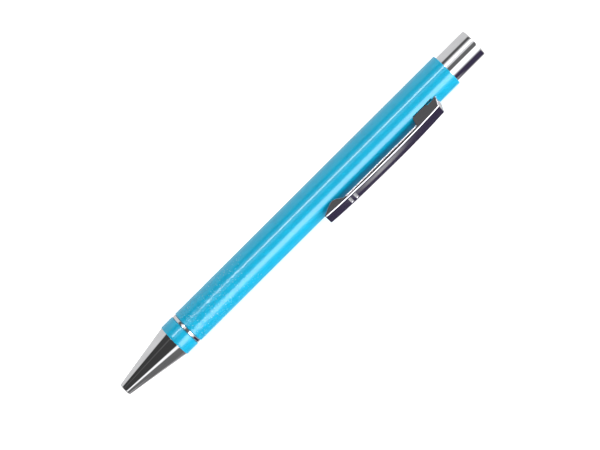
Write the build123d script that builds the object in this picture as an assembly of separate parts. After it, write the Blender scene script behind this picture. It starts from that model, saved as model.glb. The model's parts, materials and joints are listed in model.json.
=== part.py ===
from build123d import *
from math import asin, atan2, cos, degrees, hypot, pi, radians
import os

# A click ballpoint pen with a metal barrel, built as the separate pieces that it comes apart into.
# Pen frame, used for all modelling: X runs along the axis from the front face of the nose (x = 0) to the
# end of the button, the axis is y = z = 0, and the clip stands on the +Z side. All sizes are millimetres.
# Table frame, used for export: the pen lies on a table (z = 0) turned about its axis until its clip
# touches down too, nose towards -X, clip towards -Y, origin at the bottom centre of the whole pen's box.

# Barrel
PEN_LENGTH = 136.7
BARREL_RADIUS = 5.2
BARREL_FRONT = 24.85
BARREL_END = 126.0
BARREL_BORE_RADIUS = 4.5
EDGE_ROUND = 0.12
PRESS_FIT_GAP = 0.02

# Front section
CONE_LENGTH = 19.4
CONE_TIP_RADIUS = 1.9
CONE_REAR_RADIUS = 5.03
CONE_TIP_ROUND = 0.45
POINT_BORE_RADIUS = 1.28
POINT_BORE_LENGTH = 3.2
NECK_BORE_RADIUS = 1.72
SPRING_SEAT = 5.6
SPRING_CHAMBER_RADIUS = 2.25
CHAMBER_STEP = 10.9
REFILL_BORE_RADIUS = 3.1
COLLAR_LENGTH = 4.25
COUPLER_FRONT = 14.5
COUPLER_SPIGOT_RADIUS = 3.7
COUPLER_LAND_RADIUS = 4.4
THREAD_PITCH = 0.75
THREAD_MALE_RADIUS = 3.85
THREAD_FEMALE_RADIUS = 3.93
THREAD_RELIEF_LENGTH = 0.7
THREAD_END = 31.0
INSERT_FRONT = 25.1
INSERT_END = 32.5
RING_RADIUS = 5.04
RING_ROUND = 0.35
RING_BORE_GAP = 0.05

# Clip: one piece of sheet, a shallow channel with a boxed root and a lobe on each side of its tail
SHEET = 0.5
CLIP_WIDTH = 5.2
BEND_RADIUS = 0.4
INNER_BEND_RADIUS = 0.1
CLIP_TAIL = 73.4
CLIP_CROWN = 97.2
CLIP_TOP_END = 117.25
CLIP_FOOT_END = 118.4
CLIP_TAIL_HEIGHT = 7.45
CLIP_CROWN_HEIGHT = 8.3
CLIP_END_HEIGHT = 7.7
WALL_EDGE_HEIGHT = 6.85
ROOT_FRONT = 109.0
ROOT_SLANT = 0.7
ROOT_BOTTOM = 4.4
LOBE_TIP = 77.7
LOBE_END = 80.6
LOBE_HEIGHT = 5.12
CLIP_BARREL_GAP = 0.05
MARK_PLACES = (81.75, 83.6)
MARK_WIDTH = 0.9
MARK_LENGTH = 3.4
MARK_DEPTH = 0.2
SLOT_FRONT = 109.9
SLOT_END = 116.9
SLOT_INNER = 1.95
SLOT_OUTER = 2.8
TAB_FRONT = 110.4
TAB_END = 114.9
RELIEF_END = 117.5
RELIEF_HEIGHT = 4.95
HOOK_END = 117.1
HOOK_TOP = 3.5
HOOK_BOTTOM = 3.05

# Click mechanism
CAP_RADIUS = 4.44
CAP_FRONT = 123.7
CAP_WALL = 0.44
CAP_END_WALL = 0.6
CAP_ROUND = 0.45
HOUSING_FRONT = 90.5
HOUSING_END = 117.2
HOUSING_BORE_RADIUS = 4.2
POCKET_FRONT = 109.7
POCKET_INNER = 1.9
POCKET_OUTER = 2.85
POCKET_FLOOR = 2.85
SLEEVE_FRONT = 91.0
SLEEVE_SKIRT_RADIUS = 3.8
GROOVE_FLOOR_RADIUS = 3.74
GROOVES_END = 106.4
STOP_COUNT = 4
STOP_ANGLE = 36.0
STOP_FRONT = 99.15
STOP_RADIUS = 3.0
LATCH_DEPTH = 0.5
LATCH_ANGLE = 12.0
LATCH_OVERLAP = 5.0
LATCH_FLOOR_RADIUS = 3.75
ROTOR_FRONT = 99.32
ROTOR_RADIUS = 2.8
ROTOR_RIB_RADIUS = 3.6
ROTOR_RIB_WIDTH = 0.85
ROTOR_RIB_FRONT = 101.0
ROTOR_RIB_END = 103.9
ROTOR_REST_ANGLE = -18.0
ROTOR_PIN_RADIUS = 1.4
ROTOR_PIN_END = 108.0
CROWN_FACE = 104.0
CROWN_TEETH = 8
CROWN_DEPTH = 0.7
CROWN_GAP = 0.05
STEM_RADIUS = 2.9
STEM_BORE_RADIUS = 1.5
STEM_BORE_END = 110.0
STEM_HOLLOW_RADIUS = 1.9
STEM_HOLLOW_FRONT = 113.0
KEY_ANGLE = 46.0
KEY_FRONT = 104.9
KEY_END = 106.3
HUB_FRONT = 127.5

# Refill and its spring
BALL_RADIUS = 0.5
BALL_FRONT = 1.2
SOCKET_RADIUS = 0.51
SOCKET_LIP_RADIUS = 0.56
SOCKET_FRONT = 1.5
POINT_RADIUS = 1.175
POINT_CONE_END = 3.9
POINT_END = 9.5
POINT_SPIGOT_RADIUS = 0.9
POINT_SPIGOT_END = 12.5
POINT_CHANNEL_RADIUS = 0.3
NECK_RADIUS = 1.525
SHOULDER_FRONT = 17.2
SHOULDER_RADIUS = 2.3
NECK_CHANNEL_RADIUS = 0.6
TUBE_RADIUS = 2.95
TUBE_BORE_RADIUS = 2.6
TUBE_FRONT = 18.2
TUBE_END = 95.0
NOSEPIECE_END = 22.2
PLUG_FRONT = 91.0
PLUG_RADIUS = 2.85
PLUG_END = 99.3
PLUG_VENT_RADIUS = 0.4
PLUG_NOTCHES = 8
PLUG_NOTCH_DEPTH = 0.8
INK_END = 78.0
FOLLOWER_END = 83.0
FILL_GAP = 0.01
SPRING_RADIUS = 1.93
WIRE_RADIUS = 0.175
SPRING_TURNS = 11

FULL_TURN = 360.0
BEYOND = 1.0
PLACE_TOLERANCE = 0.01

# How far below the horizontal the clip points when barrel and clip both touch the table
BEND_CENTRE_SIDE = CLIP_WIDTH / 2 - BEND_RADIUS
BEND_CENTRE_UP = CLIP_CROWN_HEIGHT - BEND_RADIUS
BEND_CENTRE_REACH = hypot(BEND_CENTRE_SIDE, BEND_CENTRE_UP)
BEND_CENTRE_ANGLE = degrees(atan2(BEND_CENTRE_SIDE, BEND_CENTRE_UP))
CLIP_DIP = degrees(asin((BARREL_RADIUS - BEND_RADIUS) / BEND_CENTRE_REACH)) - BEND_CENTRE_ANGLE
CLIP_REACH = BEND_CENTRE_REACH * cos(radians(CLIP_DIP - BEND_CENTRE_ANGLE)) + BEND_RADIUS
ON_TABLE = Pos(-PEN_LENGTH / 2, (CLIP_REACH - BARREL_RADIUS) / 2, BARREL_RADIUS) * Rot(X=90 + CLIP_DIP)
# Turns a round part about the pen's axis, so that the seam of its surface is the line on the table
SEAM_DOWN = Rot(X=FULL_TURN / 2 - CLIP_DIP)


def turned(outline):
    """A solid of revolution about the pen's axis, from its (x, radius) outline."""
    return revolve(make_face(Polyline(*outline, close=True)), axis=Axis.X)


def tube(front, end, outer, inner):
    """A plain tube along the pen's axis, or a rod where inner is 0."""
    return turned([(front, inner), (end, inner), (end, outer), (front, outer)])


def block(x_range, y_range, z_range):
    """A box between pairs of limits along X, Y and Z."""
    ranges = (x_range, y_range, z_range)
    sizes = [high - low for low, high in ranges]
    middle = [(high + low) / 2 for low, high in ranges]
    return Pos(*middle) * Box(*sizes)


def pair_of_blocks(x_range, inner, outer, z_range):
    """The same block on both sides of the clip's middle plane."""
    return block(x_range, (inner, outer), z_range) + block(x_range, (-outer, -inner), z_range)


def sector(front, end, inner, outer, start, finish):
    """Part of a tube between two angles in degrees, counted about +X from the +Z side."""
    outline = make_face(Polyline((front, inner), (end, inner), (end, outer), (front, outer), close=True))
    return revolve(Rot(X=90 + start) * outline, axis=Axis.X, revolution_arc=finish - start)


def round_outer_edge(solid, place, radius):
    """Rounds the outermost circular edge of a turned piece in the plane x = place."""
    circles = solid.edges().filter_by(GeomType.CIRCLE)
    in_plane = circles.filter_by_position(Axis.X, place - PLACE_TOLERANCE, place + PLACE_TOLERANCE)
    return fillet(max(in_plane, key=lambda edge: edge.radius), radius)


def make_nose_cone():
    solid = turned(
        [
            (0, POINT_BORE_RADIUS),
            (POINT_BORE_LENGTH, POINT_BORE_RADIUS),
            (POINT_BORE_LENGTH, NECK_BORE_RADIUS),
            (SPRING_SEAT, NECK_BORE_RADIUS),
            (SPRING_SEAT, SPRING_CHAMBER_RADIUS),
            (CHAMBER_STEP, SPRING_CHAMBER_RADIUS),
            (CHAMBER_STEP, REFILL_BORE_RADIUS),
            (COUPLER_FRONT, REFILL_BORE_RADIUS),
            (COUPLER_FRONT, COUPLER_SPIGOT_RADIUS + PRESS_FIT_GAP),
            (CONE_LENGTH, COUPLER_SPIGOT_RADIUS + PRESS_FIT_GAP),
            (CONE_LENGTH, CONE_REAR_RADIUS),
            (0, CONE_TIP_RADIUS),
        ]
    )
    solid = round_outer_edge(solid, 0, CONE_TIP_ROUND)
    return round_outer_edge(solid, CONE_LENGTH, EDGE_ROUND)


def make_nose_coupler():
    relief_radius = THREAD_MALE_RADIUS - THREAD_PITCH / 2
    return turned(
        [
            (COUPLER_FRONT, REFILL_BORE_RADIUS),
            (THREAD_END, REFILL_BORE_RADIUS),
            (THREAD_END, relief_radius),
            (THREAD_END - THREAD_PITCH / 2, THREAD_MALE_RADIUS),
            (BARREL_FRONT + THREAD_RELIEF_LENGTH, THREAD_MALE_RADIUS),
            (BARREL_FRONT + THREAD_RELIEF_LENGTH, relief_radius),
            (BARREL_FRONT, relief_radius),
            (BARREL_FRONT, COUPLER_LAND_RADIUS),
            (CONE_LENGTH, COUPLER_LAND_RADIUS),
            (CONE_LENGTH, COUPLER_SPIGOT_RADIUS),
            (COUPLER_FRONT, COUPLER_SPIGOT_RADIUS),
        ]
    )


def make_front_collar():
    end = CONE_LENGTH + COLLAR_LENGTH
    solid = SEAM_DOWN * tube(CONE_LENGTH, end, BARREL_RADIUS, COUPLER_LAND_RADIUS + PRESS_FIT_GAP)
    solid = round_outer_edge(solid, CONE_LENGTH, EDGE_ROUND)
    return round_outer_edge(solid, end, EDGE_ROUND)


def make_trim_ring():
    front = CONE_LENGTH + COLLAR_LENGTH
    solid = tube(front, BARREL_FRONT, RING_RADIUS, COUPLER_LAND_RADIUS + RING_BORE_GAP)
    solid = round_outer_edge(solid, front, RING_ROUND)
    return round_outer_edge(solid, BARREL_FRONT, RING_ROUND)


def make_barrel():
    solid = SEAM_DOWN * tube(BARREL_FRONT, BARREL_END, BARREL_RADIUS, BARREL_BORE_RADIUS)
    solid = round_outer_edge(solid, BARREL_FRONT, EDGE_ROUND)
    solid = round_outer_edge(solid, BARREL_END, EDGE_ROUND)
    through_wall = (0, BARREL_RADIUS + BEYOND)
    return solid - pair_of_blocks((SLOT_FRONT, SLOT_END), SLOT_INNER, SLOT_OUTER, through_wall)


def make_thread_insert():
    return tube(INSERT_FRONT, INSERT_END, BARREL_BORE_RADIUS - PRESS_FIT_GAP, THREAD_FEMALE_RADIUS)


def clip_top(lowered):
    """The bowed side view of the clip's outer face, or the same line lowered towards the barrel."""
    return ThreePointArc(
        (CLIP_TAIL, CLIP_TAIL_HEIGHT - lowered),
        (CLIP_CROWN, CLIP_CROWN_HEIGHT - lowered),
        (CLIP_TOP_END, CLIP_END_HEIGHT - lowered),
    )


def clip_side_profile():
    lobe = Spline(
        (LOBE_END, WALL_EDGE_HEIGHT),
        (LOBE_TIP, LOBE_HEIGHT),
        (CLIP_TAIL, WALL_EDGE_HEIGHT),
        tangents=[(-1.0, -1.6), (-1.0, 0.35)],
    )
    root = Polyline(
        (CLIP_TOP_END, CLIP_END_HEIGHT),
        (CLIP_FOOT_END, BARREL_RADIUS),
        (CLIP_FOOT_END, ROOT_BOTTOM),
        (ROOT_FRONT + ROOT_SLANT, ROOT_BOTTOM),
        (ROOT_FRONT, WALL_EDGE_HEIGHT),
        (LOBE_END, WALL_EDGE_HEIGHT),
    )
    tail = Line((CLIP_TAIL, WALL_EDGE_HEIGHT), (CLIP_TAIL, CLIP_TAIL_HEIGHT))
    return make_face(clip_top(0).edges() + root.edges() + lobe.edges() + tail.edges())


def long_arcs(solid):
    circles = solid.edges().filter_by(GeomType.CIRCLE)
    return [edge for edge in circles if edge.length > CLIP_CROWN - CLIP_TAIL]


def clip_hollow():
    """The space under the sheet and between the side walls of the clip."""
    under_sheet = make_face(
        clip_top(SHEET).edges()
        + Polyline(
            (CLIP_TOP_END, CLIP_END_HEIGHT - SHEET),
            (CLIP_TOP_END, 0),
            (CLIP_TAIL, 0),
            (CLIP_TAIL, CLIP_TAIL_HEIGHT - SHEET),
        ).edges()
    )
    solid = extrude(Plane.XZ * under_sheet, amount=CLIP_WIDTH / 2 - SHEET, both=True)
    solid = fillet(long_arcs(solid), INNER_BEND_RADIUS)
    fall = CLIP_END_HEIGHT - BARREL_RADIUS
    run = CLIP_FOOT_END - CLIP_TOP_END
    wall_run = SHEET * hypot(fall, run) / fall
    end_wall = make_face(
        Polyline(
            (CLIP_TOP_END - wall_run, CLIP_END_HEIGHT),
            (CLIP_FOOT_END - wall_run, BARREL_RADIUS),
            (CLIP_FOOT_END - wall_run, 0),
            (CLIP_FOOT_END, 0),
            (CLIP_FOOT_END, CLIP_END_HEIGHT),
            close=True,
        )
    )
    beside_end_wall = make_face(
        Polyline(
            (CLIP_TOP_END - wall_run - BEYOND, CLIP_END_HEIGHT - SHEET - INNER_BEND_RADIUS),
            (CLIP_TOP_END - INNER_BEND_RADIUS, CLIP_END_HEIGHT - SHEET - INNER_BEND_RADIUS),
            (CLIP_FOOT_END - wall_run, BARREL_RADIUS),
            (CLIP_FOOT_END - wall_run, 0),
            (CLIP_TOP_END - wall_run - BEYOND, 0),
            close=True,
        )
    )
    solid += extrude(Plane.XZ * beside_end_wall, amount=CLIP_WIDTH / 2 - SHEET, both=True)
    return solid - extrude(Plane.XZ * end_wall, amount=CLIP_WIDTH, both=True)


def below_marks():
    """Everything below a line that runs one mark's depth under the clip's outer face."""
    side = make_face(
        clip_top(MARK_DEPTH).edges()
        + Polyline(
            (CLIP_TOP_END, CLIP_END_HEIGHT - MARK_DEPTH),
            (CLIP_TOP_END, 0),
            (CLIP_TAIL, 0),
            (CLIP_TAIL, CLIP_TAIL_HEIGHT - MARK_DEPTH),
        ).edges()
    )
    return extrude(Plane.XZ * side, amount=CLIP_WIDTH, both=True)


def make_clip():
    outer_face = CLIP_WIDTH / 2
    inner_face = outer_face - SHEET
    solid = extrude(Plane.XZ * clip_side_profile(), amount=outer_face, both=True)
    solid = fillet(long_arcs(solid), BEND_RADIUS)
    solid -= clip_hollow()
    solid -= tube(CLIP_TAIL - BEYOND, CLIP_FOOT_END + BEYOND, BARREL_RADIUS + CLIP_BARREL_GAP, 0)
    solid -= pair_of_blocks((TAB_END, RELIEF_END), inner_face, outer_face + BEYOND, (0, RELIEF_HEIGHT))
    for place in MARK_PLACES:
        along = (place - MARK_WIDTH / 2, place + MARK_WIDTH / 2)
        across = (-MARK_LENGTH / 2, MARK_LENGTH / 2)
        solid -= block(along, across, (WALL_EDGE_HEIGHT, CLIP_CROWN_HEIGHT + BEYOND)) - below_marks()
    tab_rise = (HOOK_BOTTOM, BARREL_RADIUS + SHEET)
    solid += pair_of_blocks((TAB_FRONT, TAB_END), inner_face, outer_face, tab_rise)
    return solid + pair_of_blocks((TAB_FRONT, HOOK_END), inner_face, outer_face, (HOOK_BOTTOM, HOOK_TOP))


def make_mechanism_housing():
    solid = tube(HOUSING_FRONT, HOUSING_END, BARREL_BORE_RADIUS - PRESS_FIT_GAP, HOUSING_BORE_RADIUS)
    return solid - hook_pockets()


def hook_pockets():
    """Two channels, open to the rear, that the hooks of the clip lie in."""
    return pair_of_blocks(
        (POCKET_FRONT, HOUSING_END + BEYOND), POCKET_INNER, POCKET_OUTER, (POCKET_FLOOR, BARREL_RADIUS)
    )


def make_cam_sleeve():
    solid = tube(SLEEVE_FRONT, HOUSING_END, HOUSING_BORE_RADIUS - PRESS_FIT_GAP, STOP_RADIUS)
    solid -= tube(SLEEVE_FRONT - BEYOND, STOP_FRONT, SLEEVE_SKIRT_RADIUS, 0)
    pitch = FULL_TURN / STOP_COUNT
    inside = STOP_RADIUS - BEYOND
    cut_front = STOP_FRONT - BEYOND
    for stop in range(STOP_COUNT):
        start = (stop - 0.5) * pitch + STOP_ANGLE / 2
        finish = start + pitch - STOP_ANGLE
        latch_end = STOP_FRONT + LATCH_DEPTH
        latch_start = finish - LATCH_OVERLAP
        latch_finish = finish + LATCH_ANGLE
        solid -= sector(cut_front, GROOVES_END, inside, GROOVE_FLOOR_RADIUS, start, finish)
        solid -= sector(cut_front, latch_end, inside, LATCH_FLOOR_RADIUS, latch_start, latch_finish)
    return solid - hook_pockets()


def crown_notches(face, direction, reach):
    """Radial V notches for a ring of teeth. direction (+1 or -1 along X) points out of the face."""
    half_width = pi * ROTOR_RADIUS / CROWN_TEETH
    profile = make_face(
        Polyline(
            (face + CROWN_GAP * direction, -half_width),
            (face - CROWN_DEPTH * direction, 0),
            (face + CROWN_GAP * direction, half_width),
            close=True,
        )
    )
    prism = extrude(profile, amount=reach, dir=(0, 0, 1))
    prism -= tube(face - BEYOND, face + BEYOND, STEM_BORE_RADIUS, 0)
    return [Rot(X=tooth * FULL_TURN / CROWN_TEETH) * prism for tooth in range(CROWN_TEETH)]


def make_rotor_cam():
    face = CROWN_FACE - CROWN_GAP / 2
    solid = tube(ROTOR_FRONT, face, ROTOR_RADIUS, 0)
    for notch in crown_notches(face, 1, STEM_RADIUS + BEYOND):
        solid -= notch
    solid += tube(ROTOR_FRONT, ROTOR_PIN_END, ROTOR_PIN_RADIUS, 0)
    rib = block(
        (ROTOR_RIB_FRONT, ROTOR_RIB_END),
        (-ROTOR_RIB_WIDTH / 2, ROTOR_RIB_WIDTH / 2),
        (ROTOR_PIN_RADIUS, ROTOR_RIB_RADIUS),
    )
    ramp = make_face(
        Polyline(
            (ROTOR_RIB_END, -ROTOR_RIB_WIDTH / 2),
            (ROTOR_RIB_END, ROTOR_RIB_WIDTH / 2),
            (ROTOR_RIB_END - LATCH_DEPTH, ROTOR_RIB_WIDTH / 2),
            close=True,
        )
    )
    rib -= extrude(ramp, amount=ROTOR_RIB_RADIUS + BEYOND, dir=(0, 0, 1))
    for stop in range(STOP_COUNT):
        solid += Rot(X=stop * FULL_TURN / STOP_COUNT + ROTOR_REST_ANGLE) * rib
    return solid


def make_plunger_core():
    face = CROWN_FACE + CROWN_GAP / 2
    hub_radius = CAP_RADIUS - CAP_WALL - PRESS_FIT_GAP
    hub_end = PEN_LENGTH - CAP_END_WALL - PRESS_FIT_GAP
    solid = turned(
        [
            (face, STEM_BORE_RADIUS),
            (STEM_BORE_END, STEM_BORE_RADIUS),
            (STEM_BORE_END, 0),
            (STEM_HOLLOW_FRONT, 0),
            (STEM_HOLLOW_FRONT, STEM_HOLLOW_RADIUS),
            (hub_end, STEM_HOLLOW_RADIUS),
            (hub_end, hub_radius),
            (HUB_FRONT, hub_radius),
            (HUB_FRONT, STEM_RADIUS),
            (face, STEM_RADIUS),
        ]
    )
    for notch in crown_notches(face, -1, STEM_RADIUS + BEYOND):
        solid -= notch
    for stop in range(STOP_COUNT):
        start = stop * FULL_TURN / STOP_COUNT - KEY_ANGLE / 2
        inside = STEM_RADIUS - BEYOND
        solid += sector(KEY_FRONT, KEY_END, inside, ROTOR_RIB_RADIUS, start, start + KEY_ANGLE)
    return solid


def make_plunger_cap():
    cavity_radius = CAP_RADIUS - CAP_WALL
    solid = turned(
        [
            (CAP_FRONT, cavity_radius),
            (PEN_LENGTH - CAP_END_WALL, cavity_radius),
            (PEN_LENGTH - CAP_END_WALL, 0),
            (PEN_LENGTH, 0),
            (PEN_LENGTH, CAP_RADIUS),
            (CAP_FRONT, CAP_RADIUS),
        ]
    )
    return round_outer_edge(solid, PEN_LENGTH, CAP_ROUND)


def make_refill_ball():
    return Pos(BALL_FRONT + BALL_RADIUS, 0, 0) * Sphere(BALL_RADIUS)


def make_refill_point():
    solid = turned(
        [
            (SOCKET_FRONT, 0),
            (SOCKET_FRONT, SOCKET_LIP_RADIUS),
            (POINT_CONE_END, POINT_RADIUS),
            (POINT_END, POINT_RADIUS),
            (POINT_END, POINT_SPIGOT_RADIUS),
            (POINT_SPIGOT_END, POINT_SPIGOT_RADIUS),
            (POINT_SPIGOT_END, 0),
        ]
    )
    solid -= Pos(BALL_FRONT + BALL_RADIUS, 0, 0) * Sphere(SOCKET_RADIUS)
    return solid - tube(BALL_FRONT + BALL_RADIUS, POINT_SPIGOT_END, POINT_CHANNEL_RADIUS, 0)


def make_refill_nosepiece():
    spigot_bore = POINT_SPIGOT_RADIUS + PRESS_FIT_GAP
    spigot_radius = TUBE_BORE_RADIUS - PRESS_FIT_GAP
    return turned(
        [
            (POINT_END, spigot_bore),
            (POINT_SPIGOT_END, spigot_bore),
            (POINT_SPIGOT_END, NECK_CHANNEL_RADIUS),
            (NOSEPIECE_END, NECK_CHANNEL_RADIUS),
            (NOSEPIECE_END, spigot_radius),
            (TUBE_FRONT, spigot_radius),
            (TUBE_FRONT, TUBE_RADIUS),
            (SHOULDER_FRONT, SHOULDER_RADIUS),
            (SHOULDER_FRONT, NECK_RADIUS),
            (POINT_END, NECK_RADIUS),
        ]
    )


def make_refill_tube():
    return tube(TUBE_FRONT, TUBE_END, TUBE_RADIUS, TUBE_BORE_RADIUS)


def make_refill_plug():
    solid = turned(
        [
            (PLUG_FRONT, PLUG_VENT_RADIUS),
            (PLUG_END, PLUG_VENT_RADIUS),
            (PLUG_END, PLUG_RADIUS),
            (TUBE_END, PLUG_RADIUS),
            (TUBE_END, TUBE_BORE_RADIUS - PRESS_FIT_GAP),
            (PLUG_FRONT, TUBE_BORE_RADIUS - PRESS_FIT_GAP),
        ]
    )
    notch = block(
        (TUBE_END + BEYOND, PLUG_END + BEYOND),
        (-PLUG_NOTCH_DEPTH / 2, PLUG_NOTCH_DEPTH / 2),
        (PLUG_RADIUS - PLUG_NOTCH_DEPTH, PLUG_RADIUS + BEYOND),
    )
    for place in range(PLUG_NOTCHES):
        solid -= Rot(X=place * FULL_TURN / PLUG_NOTCHES) * notch
    return solid


def make_ink():
    column_radius = TUBE_BORE_RADIUS - FILL_GAP
    return turned(
        [
            (POINT_SPIGOT_END + FILL_GAP, 0),
            (POINT_SPIGOT_END + FILL_GAP, NECK_CHANNEL_RADIUS - FILL_GAP),
            (NOSEPIECE_END + FILL_GAP, NECK_CHANNEL_RADIUS - FILL_GAP),
            (NOSEPIECE_END + FILL_GAP, column_radius),
            (INK_END, column_radius),
            (INK_END, 0),
        ]
    )


def make_ink_follower():
    return tube(INK_END + FILL_GAP, FOLLOWER_END, TUBE_BORE_RADIUS - FILL_GAP, 0)


def make_return_spring():
    front = SPRING_SEAT + PRESS_FIT_GAP + WIRE_RADIUS
    end = SHOULDER_FRONT - PRESS_FIT_GAP - WIRE_RADIUS
    path = Helix(pitch=(end - front) / SPRING_TURNS, height=end - front, radius=SPRING_RADIUS)
    section = Plane(origin=path @ 0, z_dir=path % 0) * Circle(WIRE_RADIUS)
    return Pos(front, 0, 0) * Rot(Y=90) * sweep(section, path=path)


PIECES = {
    "nose_cone": make_nose_cone,
    "nose_coupler": make_nose_coupler,
    "front_collar": make_front_collar,
    "trim_ring": make_trim_ring,
    "barrel": make_barrel,
    "thread_insert": make_thread_insert,
    "clip": make_clip,
    "mechanism_housing": make_mechanism_housing,
    "cam_sleeve": make_cam_sleeve,
    "rotor_cam": make_rotor_cam,
    "plunger_core": make_plunger_core,
    "plunger_cap": make_plunger_cap,
    "refill_ball": make_refill_ball,
    "refill_point": make_refill_point,
    "refill_nosepiece": make_refill_nosepiece,
    "refill_tube": make_refill_tube,
    "refill_plug": make_refill_plug,
    "ink": make_ink,
    "ink_follower": make_ink_follower,
    "return_spring": make_return_spring,
}

os.makedirs("parts", exist_ok=True)
for name, make in PIECES.items():
    export_step(ON_TABLE * make(), f"parts/{name}.step")
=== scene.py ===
import json
import math

import bmesh
import bpy
import numpy as np
from mathutils import Matrix, Vector


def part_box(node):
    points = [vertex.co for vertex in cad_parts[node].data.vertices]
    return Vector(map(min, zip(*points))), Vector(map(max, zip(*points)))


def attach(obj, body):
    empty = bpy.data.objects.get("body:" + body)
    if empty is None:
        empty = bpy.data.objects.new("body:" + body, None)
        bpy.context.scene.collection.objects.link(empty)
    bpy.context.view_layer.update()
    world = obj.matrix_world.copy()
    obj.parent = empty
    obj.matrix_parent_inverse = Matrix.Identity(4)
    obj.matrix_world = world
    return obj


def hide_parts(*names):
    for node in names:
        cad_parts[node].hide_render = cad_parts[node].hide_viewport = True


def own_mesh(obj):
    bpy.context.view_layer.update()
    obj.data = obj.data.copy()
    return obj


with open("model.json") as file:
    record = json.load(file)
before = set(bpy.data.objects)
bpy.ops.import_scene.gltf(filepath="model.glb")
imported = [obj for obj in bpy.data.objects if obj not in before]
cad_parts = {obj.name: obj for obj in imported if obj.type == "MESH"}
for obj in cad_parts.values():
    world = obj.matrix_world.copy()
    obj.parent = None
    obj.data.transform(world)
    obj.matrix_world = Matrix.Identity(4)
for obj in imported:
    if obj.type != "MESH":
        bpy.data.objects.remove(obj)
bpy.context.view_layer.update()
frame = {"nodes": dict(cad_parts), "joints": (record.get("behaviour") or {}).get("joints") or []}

scene = bpy.context.scene

# A click ballpoint pen lying on a pale table. All shapes are drawn in the pen's own frame, in millimetres:
# X along the axis from the front face of the nose, Y across the clip, Z from the axis out through the clip.
# PEN turns that frame into the row frame, in metres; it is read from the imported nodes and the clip's hinge.
MM = 0.001
MICRON = 0.000001
SAME = 1e-4  # radii closer than this, in millimetres, count as equal
joints = {joint["name"]: joint for joint in frame["joints"]}
barrel_low, barrel_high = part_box("barrel")
AXIS_POINT = Vector(
    (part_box("nose_cone")[0].x, (barrel_low.y + barrel_high.y) / 2, (barrel_low.z + barrel_high.z) / 2)
)
ACROSS = Vector(joints["clip_flex"]["axis"]).normalized()
ALONG = Vector((1.0, 0.0, 0.0))
OUT = ALONG.cross(ACROSS)
PEN = Matrix.Translation(AXIS_POINT) @ (
    Matrix((ALONG, ACROSS, OUT)).transposed() @ Matrix.Diagonal((MM, MM, MM))
).to_4x4()

# Sizes in millimetres, as the CAD model has them
LENGTH = 136.7
BARREL_R = 5.2
BARREL_BORE = 4.5
BARREL_FRONT = 24.85
BARREL_END = 126.0
CONE_LENGTH = 19.4
COLLAR_END = 23.65
COUPLER_FRONT = 14.5
COUPLER_BORE = 3.1
GRIP_END = 52.0


# ---------------------------------------------------------------- mesh helpers
def outline(points, steps):
    """Closed outline from (x, y, corner radius) points, each corner replaced by an arc."""
    out = []
    count = len(points)
    for index, (x, y, radius) in enumerate(points):
        here = Vector((x, y))
        back = Vector(points[index - 1][:2]) - here
        ahead = Vector(points[(index + 1) % count][:2]) - here
        if radius <= 0:
            out.append(here)
            continue
        back.normalize()
        ahead.normalize()
        half = back.angle(ahead) / 2
        centre = here + (back + ahead).normalized() * (radius / math.sin(half))
        start = here + back * (radius / math.tan(half)) - centre
        sweep = start.angle_signed(here + ahead * (radius / math.tan(half)) - centre)
        for step in range(steps + 1):
            turn = -sweep * step / steps
            out.append(centre + Vector((
                start.x * math.cos(turn) - start.y * math.sin(turn),
                start.x * math.sin(turn) + start.y * math.cos(turn),
            )))
    return [(p.x, p.y) for p in out]


def finish_piece(name, vertices, faces, material, body, nodes, sharp=32):
    """Object made from a mesh in the pen's frame. It replaces the CAD nodes and rides on the body."""
    mesh = bpy.data.meshes.new(name)
    mesh.from_pydata([tuple(v) for v in vertices], [], faces)
    work = bmesh.new()
    work.from_mesh(mesh)
    bmesh.ops.recalc_face_normals(work, faces=work.faces)
    work.to_mesh(mesh)
    work.free()
    mesh.transform(PEN)
    mesh.polygons.foreach_set("use_smooth", [True] * len(mesh.polygons))
    mesh.set_sharp_from_angle(angle=math.radians(sharp))
    mesh.materials.append(material)
    piece = bpy.data.objects.new(name, mesh)
    scene.collection.objects.link(piece)
    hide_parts(*nodes)
    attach(piece, body)
    return piece


def lathe(profile, segments, closed=True, shape=None):
    """(vertices, faces) of a turned piece. profile is (x, radius) points; a radius of 0 makes a pole.
    shape, when given, maps arrays of x, radius and angle to a new radius."""
    rows = []
    vertices = []
    angles = np.arange(segments) * 2 * math.pi / segments
    for x, radius in profile:
        if radius < SAME:
            rows.append([len(vertices)] * segments)
            vertices.append((x, 0.0, 0.0))
            continue
        radii = np.full(segments, radius)
        if shape is not None:
            radii = shape(np.full(segments, x), radii, angles)
        start = len(vertices)
        rows.append(list(range(start, start + segments)))
        vertices += list(zip([x] * segments, -radii * np.sin(angles), -radii * np.cos(angles)))
    faces = []
    last = len(rows) if closed else len(rows) - 1
    for row in range(last):
        a, b = rows[row], rows[(row + 1) % len(rows)]
        for i in range(segments):
            j = (i + 1) % segments
            face = (a[i], a[j], b[j], b[i])
            kept = tuple(dict.fromkeys(face))
            if len(kept) > 2:
                faces.append(kept)
    return vertices, faces


MARK_MARGIN = 0.02


def refined(profile, marks, radius):
    """The profile with extra points, at the x of each mark, along its straight run at that radius."""
    out = []
    count = len(profile)
    for index, point in enumerate(profile):
        out.append(point)
        after = profile[(index + 1) % count]
        run = after[0] - point[0]
        if abs(point[1] - radius) < SAME and abs(after[1] - radius) < SAME and abs(run) > 1:
            low, high = min(point[0], after[0]) + MARK_MARGIN, max(point[0], after[0]) - MARK_MARGIN
            out += [(m, radius) for m in sorted((m for m in marks if low < m < high), reverse=run < 0)]
    return out


# ---------------------------------------------------------------- material helpers
def new_material(name):
    material = bpy.data.materials.new(name)
    material.use_nodes = True
    return material, material.node_tree, material.node_tree.nodes["Principled BSDF"]


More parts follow.
